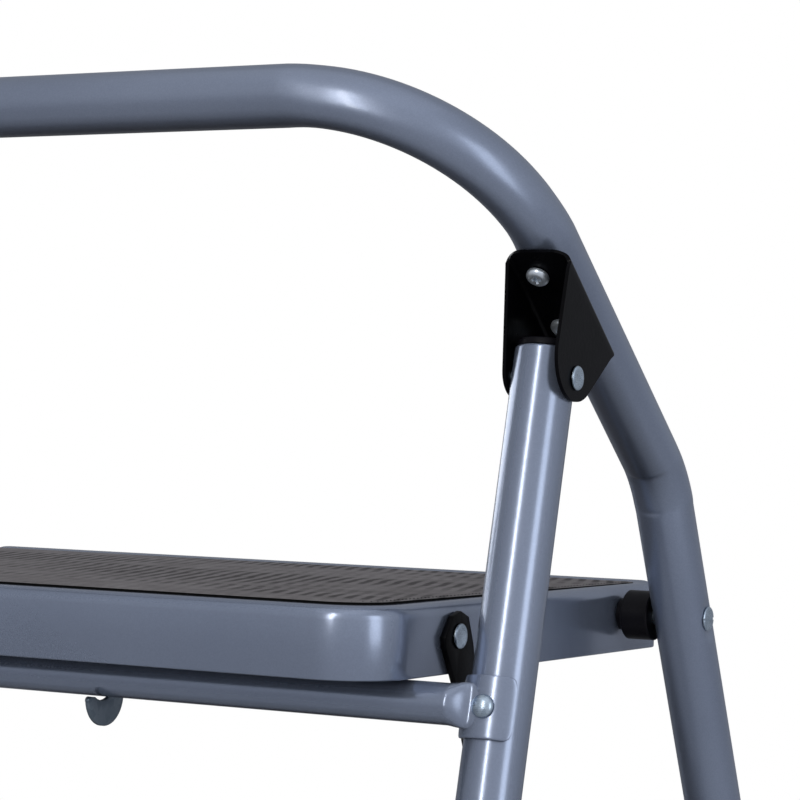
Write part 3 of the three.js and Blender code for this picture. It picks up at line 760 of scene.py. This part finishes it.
def cross_rivet(level, word, side):
    """A domed rivet that holds the cross tube's strap to the leg."""
    seat = SADDLE_OUT + 0.2
    dome = []
    for degrees in range(0, 90, 9):
        angle = math.radians(degrees)
        dome.append((4.65 * math.cos(angle), seat + 0.3 + 3.0 * math.sin(angle)))
    profile = [(0, 9), (RIVET_R, 9), (RIVET_R, seat), (4.5, seat)] + dome + [(0, seat + 3.3)]
    bm = bmesh.new()
    lathe(bm, from_mm(profile), on_leg(side, SADDLE_Z[level]), leg_rear, 40)
    piece(f"saddle_rivet_{level}_{word}", bm, f"{level}_cross_rivet_{word}", "zinc_steel")


def step_bolt(name, word, side):
    """A slotted flat-headed bolt, set flush in the rail's seat, with its nut inside the tread."""
    centre = Vector((0, pivots[name].y, pivots[name].z))
    outward = X * side
    seat = (rail_x(pivots[name].z) + TUBE_R) / MM - SEAT_DEPTH
    end, crown = TRAY_INSIDE - 9, seat + 1.2
    profile = [(0, end), (3.4, end), (4, end + 0.6), (4, seat + 0.1), (5.0, seat + 0.1)]
    profile += [(5.3, seat + 0.35), (5.3, seat + 0.7), (5.0, seat + 0.95), (4.2, seat + 1.1), (0, crown)]
    bm = bmesh.new()
    lathe(bm, from_mm(profile), centre, outward, 40)
    bmesh.ops.recalc_face_normals(bm, faces=bm.faces)
    bm = recess(bm, centre + outward * crown * MM, outward, slot_outline(1.1, 12), depth=0.7)
    nut = [(4.02, -6.4), (5.6, -6.4), (6.5, -5.9), (6.5, -0.5), (5.8, -0.05), (4.02, -0.05), (4.02, -6.4)]
    nut = [(radius, TRAY_INSIDE + height) for radius, height in nut]
    lathe(bm, from_mm(nut), centre, outward, sides=6, capped=False)
    piece(f"{name}_pivot_bolt_{word}", bm, f"{name}_bolt_{word}", "zinc_steel", degrees=28)


def spacer(name, word, side):
    """A plain sleeve with a narrower neck against the tread."""
    near = TREAD_HALF + PLATE_GAP
    far = (rail_x(pivots[name].z) - TUBE_R) / MM - PLATE_GAP
    profile = [(4.4, near), (7.0, near), (7.0, near + 3.2), (10.3, near + 3.3), (10.8, near + 3.8)]
    profile += [(10.8, far - 0.5), (10.3, far), (4.4, far), (4.4, near)]
    centre = Vector((0, pivots[name].y, pivots[name].z))
    bm = bmesh.new()
    lathe(bm, from_mm(profile), centre, X * side, sides=44, capped=False)
    bmesh.ops.remove_doubles(bm, verts=bm.verts, dist=1e-6)
    piece(f"{name}_sleeve_{word}", bm, f"{name}_spacer_{word}", "black_plastic")


def link_rivet(name, word, side):
    """A rivet with a shallow round head, through a link bar and the tread's side."""
    inside = TRAY_INSIDE
    outside = TREAD_HALF + LINK_PLATE + 2 * PLATE_GAP
    profile = [(0, inside - 2), (3.6, inside - 1.9), (4.8, inside - 1.2), (5, inside), (RIVET_R, inside)]
    profile += [(RIVET_R, outside), (4.85, outside), (5.0, outside + 0.2), (4.95, outside + 0.6)]
    profile += [(4.7, outside + 0.9), (4.2, outside + 1.0), (3.2, outside + 0.85), (0, outside + 0.6)]
    bm = bmesh.new()
    lathe(bm, from_mm(profile), Vector((0, *(pivots[name] + link_pin).yz)), X * side, 36)
    piece(f"{name}_link_pin_{word}", bm, f"{name}_link_rivet_{word}", "zinc_steel")


# ---- Hinge brackets: one sheet folded into a channel, in millimetres ----
HALF_SHEET = 0.75
WEB_OUTER = 14.3
WEB_MIDDLE = WEB_OUTER - HALF_SHEET
FOLD_RADIUS = 2.2
BRACKET_BOTTOM, FLANGE_TOP, BRACKET_TOP = 96.0, 150.5, 155.0
WEB_CORNER = 8.0
# Each flange: its shoulder's depth, its nose (along, away, radius), and where straight edges meet the nose.
OUTER_FLANGE = (17.0, (121.0, 38.0, 18.0), (103.56, 42.45), (137.34, 45.55))
INNER_FLANGE = (15.5, (115.5, 41.5, 10.8), (105.12, 44.49), (123.93, 48.24))
SCREWS = {"lower": 112.0, "upper": 142.0}
SCREW_X = LEG_X - 3.3 * MM


def bracket_point(x, along, away):
    """along mm up the handrail from its bend, away mm to the rear of its centre line."""
    return Vector((x, bend_point.y, BEND_Z)) + handle_up * (along * MM) + handle_rear * (away * MM)


def straight_edge(away, start, stop):
    """Place along an edge between two (along, away) points."""
    share = (away - start[1]) / (stop[1] - start[1])
    return start[0] + (stop[0] - start[0]) * share


def flange_span(flange, away):
    """Lowest and highest place along the handrail of a flange at a depth behind it, in mm."""
    shoulder, (nose_along, nose_away, radius), low_point, high_point = flange
    reach = math.sqrt(max(radius**2 - (away - nose_away) ** 2, 0.04))
    low, high = nose_along - reach, nose_along + reach
    if away < low_point[1]:
        low = straight_edge(away, (BRACKET_BOTTOM, WEB_MIDDLE), low_point)
    if away < high_point[1]:
        high = min(FLANGE_TOP, straight_edge(away, (FLANGE_TOP, shoulder), high_point))
    return low, high


def web_top(x):
    """Height of the web's rounded upper corner at a distance from its middle, in mm."""
    into = max(x - (WEB_OUTER - WEB_CORNER), 0) / WEB_CORNER
    return BRACKET_TOP - WEB_CORNER * (1 - math.sqrt(1 - into**2))


def bracket_flank(flange):
    """From a flange's nose to the web: (x, away), the sheet's normal, and its lowest and highest place."""
    _, (_, nose_away, radius), _, _ = flange
    fold_away = WEB_MIDDLE + FOLD_RADIUS
    half_web = WEB_MIDDLE - FOLD_RADIUS
    flank = []
    for i in range(24):
        away = fold_away + (nose_away + radius - fold_away) * math.cos(math.pi / 2 * i / 24)
        flank.append(((WEB_MIDDLE, away), (1, 0), *flange_span(flange, away)))
    for k in range(7):
        angle = math.pi / 2 * k / 6
        c, s = math.cos(angle), math.sin(angle)
        x = half_web + FOLD_RADIUS * c
        flank.append(((x, fold_away - FOLD_RADIUS * s), (c, -s), BRACKET_BOTTOM, web_top(x)))
    for k in range(1, 9):
        x = half_web - (half_web - WEB_OUTER + WEB_CORNER) * k / 8
        flank.append(((x, WEB_MIDDLE), (0, -1), BRACKET_BOTTOM, web_top(x)))
    return flank


def hinge_bracket(word, side):
    """The folded channel: its outer flange, web and inner flange, as one row of upright strips."""
    steps = 20
    inner = []
    for (x, away), (nx, na), low, high in reversed(bracket_flank(INNER_FLANGE)):
        inner.append(((-x, away), (-nx, na), low, high))
    rings = []
    for (x, away), (nx, na), low, high in bracket_flank(OUTER_FLANGE) + inner:
        faces = []
        for offset in (HALF_SHEET, -HALF_SHEET):
            at = side * (LEG_X + (x + nx * offset) * MM)
            places = [low + (high - low) * j / steps for j in range(steps + 1)]
            faces.append([bracket_point(at, place, away + na * offset) for place in places])
        rings.append(faces[0] + faces[1][::-1])
    bm = bmesh.new()
    add_rings(bm, rings)
    node = "hinge_bracket_" + word
    piece("bracket_channel_" + word, bm, node, "black_paint", bevel=0.28 * MM, degrees=40)


# ---- Treads, in millimetres ----
PIVOT_DROP = 11.6
TREAD_SKIRT = 28.4
SHOULDER_R = 5.2
# The front edge curves up a little, from a place behind the edge over a width.
FRONT_LIP, LIP_START, LIP_WIDTH = 1.7, -14, 9
FRONT_CORNER = 10
REAR_CORNERS = {"platform": 27, "middle_step": 22, "lower_step": 22}


def tread_outline(name, inset, drop, front_border=0, steps=14):
    """A rounded rectangle of points round a tread, inset from its sides and below its top."""
    low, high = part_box(name + "_pan")
    z = pivots[name].z + PIVOT_DROP * MM - drop * MM
    points = []
    for quarter, side in enumerate((1, -1, -1, 1)):
        corner = FRONT_CORNER if quarter < 2 else REAR_CORNERS[name]
        radius = max(corner - inset, 0.6) * MM
        x = side * (high.x - inset * MM - radius)
        y = low.y + inset * MM + radius
        if quarter < 2:
            y = high.y - (inset + front_border) * MM - radius
        for i in range(steps + 1):
            angle = (quarter + i / steps) * math.pi / 2
            points.append(Vector((x + radius * math.cos(angle), y + radius * math.sin(angle), z)))
    return points


def tray(name):
    """A pressed tray: flat top with a raised front, rolled shoulder and a skirt with a rounded hem."""
    turns = [math.radians(angle) for angle in range(0, 91, 10)]
    shoulder = [(SHOULDER_R * (1 - math.sin(a)), SHOULDER_R * (1 - math.cos(a))) for a in turns]
    hem = [(0, TREAD_SKIRT - 0.7), (0.2, TREAD_SKIRT - 0.2), (0.75, TREAD_SKIRT), (1.3, TREAD_SKIRT - 0.2)]
    inner = [(SHEET, TREAD_SKIRT - 0.7), (SHEET, 7.0), (2.0, 4.4), (3.4, 2.5), (6.0, SHEET), (16.0, SHEET)]
    profile = [(inset, 0) for inset in (20.0, 14.0, 11.5, 9.0, 7.0)] + shoulder + hem + inner
    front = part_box(name + "_pan")[1].y
    rings = []
    for inset, drop in profile:
        ring = tread_outline(name, inset, drop)
        for point in ring:
            lip = smooth_step(((point.y - front) / MM - LIP_START) / LIP_WIDTH)
            point.z += FRONT_LIP * MM * lip * max(1 - drop / 8, 0)
        rings.append(ring)
    bm = bmesh.new()
    add_rings(bm, rings)
    piece(name + "_tray", bm, name + "_pan", "frame_paint", degrees=50)


MAT_INSET = 7.5
MAT_FRONT_BORDER = 6.5
RIBS_INSET = MAT_INSET + 3.2
RIB_PITCH = 3.1


def mat(name):
    """A thin rubber mat with a plain border and fine ribs running from side to side."""
    base = [(MAT_INSET, 0.0), (MAT_INSET, -1.0), (MAT_INSET + 0.3, -1.2), (MAT_INSET + 2.2, -1.2)]
    base += [(MAT_INSET + 2.8, -0.8), (MAT_INSET + 14, -0.8)]
    bm = bmesh.new()
    add_rings(bm, [tread_outline(name, inset, drop, MAT_FRONT_BORDER) for inset, drop in base])
    low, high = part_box(name + "_pan")
    top = pivots[name].z + PIVOT_DROP * MM
    rear, front = low.y / MM + RIBS_INSET, high.y / MM - RIBS_INSET - MAT_FRONT_BORDER
    count = int((front - rear) / RIB_PITCH)
    start = (rear + front - (count - 1) * RIB_PITCH) / 2
    section = mirrored([(-1.05, 0.7), (-0.75, 1.05), (-0.35, 1.3)])
    for i in range(count):
        y = start + i * RIB_PITCH
        corner = FRONT_CORNER if front - y < y - rear else REAR_CORNERS[name]
        radius = max(corner - RIBS_INSET, 0.5)
        into_corner = max(0.0, radius - min(y - rear, front - y))
        reach = TREAD_HALF - RIBS_INSET - radius + math.sqrt(max(radius**2 - into_corner**2, 0)) - 0.6
        ends = []
        for x in (-reach, reach):
            ends.append([Vector((x * MM, (y + dy) * MM, top + dz * MM)) for dy, dz in section])
        add_rings(bm, ends)
    piece(name + "_ribbed_mat", bm, name + "_mat", "mat_rubber", degrees=50)


# ---- Stiffener, link bars, hooks and their guides, in millimetres ----


def stiffener():
    """A shallow channel with two flanges, across the underside of the platform."""
    low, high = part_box("platform_stiffener")
    centre_y, top = (low.y + high.y) / 2, high.z
    below = mirrored([(-20, 0), (-20, -1.2), (-13, -1.2), (-12, -1.6), (-9.6, -11.2), (-8.6, -12)])
    above = mirrored([(11.4, 0), (8.3, -10.4), (7.9, -10.8)])
    bm = bmesh.new()
    add_plate(bm, below + above, (high.x - low.x) / MM, Vector((low.x, centre_y, top)), Y, Z)
    piece("pan_stiffener", bm, "platform_stiffener", "frame_paint", bevel=0.15 * MM)


LINK_HEAD = [(9, -16), (10.2, -8), (10.4, 3.5), (5, 8.6), (-1.5, 9.4), (-10.5, 4.6), (-11.6, 1), (-9, -17)]


def link_bar(word):
    """A flat bar with chamfered ends and rounded edges, drilled for its three rivets."""
    forward = rail_up.cross(X)
    length = (pivots["platform"] - pivots["lower_step"]).length / MM
    outline = LINK_HEAD + [(-x, -length - y) for x, y in LINK_HEAD]
    holes = [circle((0, -at), RIVET_HOLE_R) for at in (0, length / 2, length)]
    low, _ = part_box("link_bar_" + word)
    origin = Vector((low.x, joints["link_bar_swing"].y, joints["link_bar_swing"].z))
    bm = bmesh.new()
    add_plate(bm, outline, LINK_PLATE, origin, forward, rail_up, holes)
    piece("tread_link_" + word, bm, "link_bar_" + word, "black_paint", bevel=0.5 * MM, degrees=40)


HOOK_PLATE = 2.0
HOOK_EYE_R, HOOK_NOTCH_R = 8, 9.7
hook_pin = pivots["platform"] + Vector((0, -80, -1.4)) * MM


def fold_hook(word):
    """A flat hook: an eye on its rivet, an arm, and a round notch that lies over the cross tube."""
    pin = (hook_pin - hook_axis) / MM
    outline = arc((0, 0), HOOK_NOTCH_R, 236, 396, 28)
    outline += arc((pin.y, pin.z), HOOK_EYE_R, 104, -76, 16)
    outline += [(40, -1.2), (22, -4.6)]
    outline += arc((2.2, -8), 12.4, 2, -172, 26)
    outline += arc((-8.6, -9.4), 1.75, 188, 60, 6)
    low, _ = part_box("fold_hook_" + word)
    origin = Vector((low.x, hook_axis.y, hook_axis.z))
    bm = bmesh.new()
    add_plate(bm, outline, HOOK_PLATE, origin, Y, Z, [circle((pin.y, pin.z), RIVET_HOLE_R)])
    node = "fold_hook_" + word
    piece("platform_hook_" + word, bm, node, "hook_steel", bevel=0.25 * MM)


def hook_rivet(word, side):
    """A rivet through the hook's eye and the guide's slot."""
    low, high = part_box("fold_hook_" + word)
    centre = Vector(((low.x + high.x) / 2, hook_pin.y, hook_pin.z))
    inside, outside = -1.3, 3.6
    head = [(RIVET_R, 0), (5, 0), (4.6, 1.1), (3.4, 1.6), (0, 1.6)]
    profile = [(radius, inside - height) for radius, height in reversed(head)]
    profile += [(radius, outside + height) for radius, height in head]
    bm = bmesh.new()
    lathe(bm, from_mm(profile), centre, X * side, 32)
    piece("hook_pin_" + word, bm, "hook_rivet_" + word, "zinc_steel")


GUIDE_SLOT_LENGTH, GUIDE_TAB = 18, 16


def hook_guide(word, side):
    """A cheek with a slot for the hook's rivet, folded over to a tab under the pan."""
    low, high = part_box("hook_guide_" + word)
    near = min(abs(low.x), abs(high.x))
    rear, front = low.y / MM, high.y / MM
    top, bottom = high.z / MM, low.z / MM
    outline = [(rear, top), (rear + 3.4, bottom + 2), (rear + 5.4, bottom), (front - 5.4, bottom)]
    outline += [(front - 3.4, bottom + 2), (front, top)]
    slot_r = RIVET_R + PLATE_GAP
    slot_rear, slot_low, slot_high = hook_pin.y / MM, hook_pin.z / MM - 4.3, hook_pin.z / MM + 0.4
    slot_front = slot_rear + GUIDE_SLOT_LENGTH
    slot = arc((slot_rear, slot_low), slot_r, 180, 270, 6) + arc((slot_front, slot_low), slot_r, -90, 0, 6)
    slot += arc((slot_front, slot_high), slot_r, 0, 90, 6) + arc((slot_rear, slot_high), slot_r, 90, 180, 6)
    x = near if side > 0 else -near - HOOK_PLATE * MM
    bm = bmesh.new()
    add_plate(bm, outline, HOOK_PLATE, Vector((x, 0, 0)), Y, Z, [slot])
    tab = [(0, rear), (GUIDE_TAB, rear), (GUIDE_TAB, front), (0, front)][::side]
    tab = [(side * (near / MM + out), y) for out, y in tab]
    add_plate(bm, tab, HOOK_PLATE, Vector((0, 0, high.z - HOOK_PLATE * MM)), X, Y)
    piece("hook_cheek_" + word, bm, "hook_guide_" + word, "frame_paint", bevel=0.2 * MM)


# ---- Feet ----


def foot(kind, word, side):
    """A moulded rubber boot, ringed outside and cut flat on the floor."""
    place = on_rail if kind == "front" else on_leg
    end = place(side, TUBE_END_Z)
    up = (place(side, 1) - end).normalized()
    outer = [(15.9, -34), (15.9, -4), (15.6, -3)]
    for ridge in range(0, 24, 6):
        outer += [(15.4, ridge - 2.4), (15.0, ridge - 1.8), (15.0, ridge - 0.6), (15.4, ridge)]
        outer += [(15.6, ridge + 0.4), (15.6, ridge + 2.8)]
    outer += [(15.6, 26), (15.9, 27), (15.9, 30), (15.5, 31.2), (14.4, 32)]
    inner = [(13.2, 32), (12.9, 31.4), (12.9, -0.3), (0, -0.3)]
    bm = bmesh.new()
    lathe(bm, from_mm([(0, -34)] + outer + inner), end, up, 48)
    cut = bmesh.ops.bisect_plane(
        bm,
        geom=list(bm.verts) + list(bm.edges) + list(bm.faces),
        plane_co=(0, 0, 0),
        plane_no=(0, 0, 1),
        clear_inner=True,
    )
    rim = [item for item in cut["geom_cut"] if isinstance(item, bmesh.types.BMEdge)]
    bmesh.ops.triangle_fill(bm, use_beauty=True, edges=rim)
    piece(f"{kind}_boot_{word}", bm, f"{kind}_foot_{word}", "foot_rubber", degrees=35)


# ---- Assembly ----
front_frame()
for level in SADDLE_Z:
    cross_tube(level)
    for word, side in SIDES.items():
        cross_rivet(level, word, side)
for word, side in SIDES.items():
    rear_leg(word, side)
    leg_plug(word, side)
    hinge_bracket(word, side)
    hinge_rivet(word, side)
    for level, along in SCREWS.items():
        bracket_screw(level, word, side, along)
    link_bar(word)
    fold_hook(word)
    hook_rivet(word, side)
    hook_guide(word, side)
    for kind in ("front", "rear"):
        foot(kind, word, side)
for name in TREADS:
    tray(name)
    mat(name)
    for word, side in SIDES.items():
        step_bolt(name, word, side)
        spacer(name, word, side)
        link_rivet(name, word, side)
stiffener()

# ---- Floor, lights, world and camera ----


FLOOR_R = 3.5
FLOOR_GAP = 0.5 * MM


def floor():
    """A pale round floor just below the feet, not seen in the metal's reflections."""
    bm = bmesh.new()
    bmesh.ops.create_circle(bm, cap_ends=True, segments=96, radius=FLOOR_R)
    mesh = bpy.data.meshes.new("floor")
    bm.to_mesh(mesh)
    bm.free()
    material, tree, shader = node_tree("floor_paint")
    tone = ramp(tree, noise(tree, object_coordinates(tree), 2, 3), (0.3, 0.80), (0.7, 0.84))
    tree.links.new(tone, shader.inputs["Base Color"])
    settings(shader, roughness=0.8)
    mesh.materials.append(material)
    made = bpy.data.objects.new("floor", mesh)
    made.location.z = -FLOOR_GAP
    made.visible_glossy = False
    bpy.context.scene.collection.objects.link(made)


SUBJECT = Vector((0.1, -0.1, 0.75))


def softbox(name, azimuth, elevation, distance, size, power, color):
    """A light aimed at the subject. Azimuth is measured from the -Y side, positive towards +X."""
    a, e = math.radians(azimuth), math.radians(elevation)
    way = Vector((math.sin(a) * math.cos(e), -math.cos(a) * math.cos(e), math.sin(e)))
    light = bpy.data.lights.new(name, "AREA")
    light.shape = "RECTANGLE"
    light.size, light.size_y = size
    light.energy = power
    light.color = color
    made = bpy.data.objects.new(name, light)
    made.location = SUBJECT + way * distance
    made.rotation_mode = "QUATERNION"
    made.rotation_quaternion = (-way).to_track_quat("-Z", "Y")
    bpy.context.scene.collection.objects.link(made)


BRIGHT_SIDE = (0.766, -0.643, 0)


def world():
    """Grey surroundings, brighter above and on one side, and plain white for the camera."""
    made = bpy.data.worlds.new("studio")
    made.use_nodes = True
    tree = made.node_tree
    background = tree.nodes["Background"]
    way = tree.nodes.new("ShaderNodeTexCoord").outputs["Generated"]
    height = ranged(tree, reach_along(tree, way, (0, 0, 1)), 0, 1, value_low=-1)
    side = ranged(tree, reach_along(tree, way, BRIGHT_SIDE), 0, 1, value_low=-1)
    lit = ramp(tree, side, (0.0, 0.32), (0.5, 0.62), (1.0, 1.0))
    sky = ramp(
        tree,
        height,
        (0.0, (0.56, 0.58, 0.62)),
        (0.40, (0.50, 0.52, 0.58)),
        (0.5, (0.66, 0.69, 0.76)),
        (0.60, (0.76, 0.79, 0.86)),
        (1.0, (0.85, 0.89, 0.98)),
    )
    path = tree.nodes.new("ShaderNodeLightPath")
    sky = mixed(tree, 1.0, sky, lit, "MULTIPLY")
    seen = mixed(tree, path.outputs["Is Camera Ray"], sky, (1.0, 1.0, 1.0))
    tree.links.new(seen, background.inputs["Color"])
    background.inputs["Strength"].default_value = 1.0
    bpy.context.scene.world = made


# Fitted to the outlines of the tubes, the tread and the rivets in the photograph. Angles in degrees.
CAMERA_AZIMUTH = 29.056
CAMERA_RISE = 0.690
CAMERA_ROLL = -1.557
CAMERA_LENS, CAMERA_SENSOR = 125.5, 36
CAMERA_FROM_PIVOT = Vector((699.4, -1130.0, 77.1)) * MM


def camera():
    a, e = math.radians(CAMERA_AZIMUTH), math.radians(CAMERA_RISE)
    forward = Vector((-math.sin(a) * math.cos(e), math.cos(a) * math.cos(e), math.sin(e)))
    right = Vector((math.cos(a), math.sin(a), 0))
    up = right.cross(forward)
    roll = Matrix.Rotation(math.radians(CAMERA_ROLL), 3, forward)
    right, up = roll @ right, roll @ up
    data = bpy.data.cameras.new("camera")
    data.lens = CAMERA_LENS
    data.sensor_width = CAMERA_SENSOR
    data.clip_start = 0.05
    made = bpy.data.objects.new("camera", data)
    axes = Matrix((right, up, -forward)).transposed().to_4x4()
    made.matrix_world = Matrix.Translation(pivots["platform"] + CAMERA_FROM_PIVOT) @ axes
    bpy.context.scene.collection.objects.link(made)
    bpy.context.scene.camera = made


floor()
world()
softbox("key", 3, 22, 2.4, (0.18, 1.9), 17, (1.0, 0.98, 0.95))
softbox("side", 75, 8, 2.4, (0.8, 1.7), 10, (0.90, 0.94, 1.0))
softbox("rim", -108, 16, 2.4, (2.0, 1.0), 16, (0.95, 0.97, 1.0))
softbox("top", 10, 75, 2.0, (2.4, 2.4), 5, (0.95, 0.97, 1.0))
camera()
bpy.context.scene.view_settings.view_transform = "Standard"
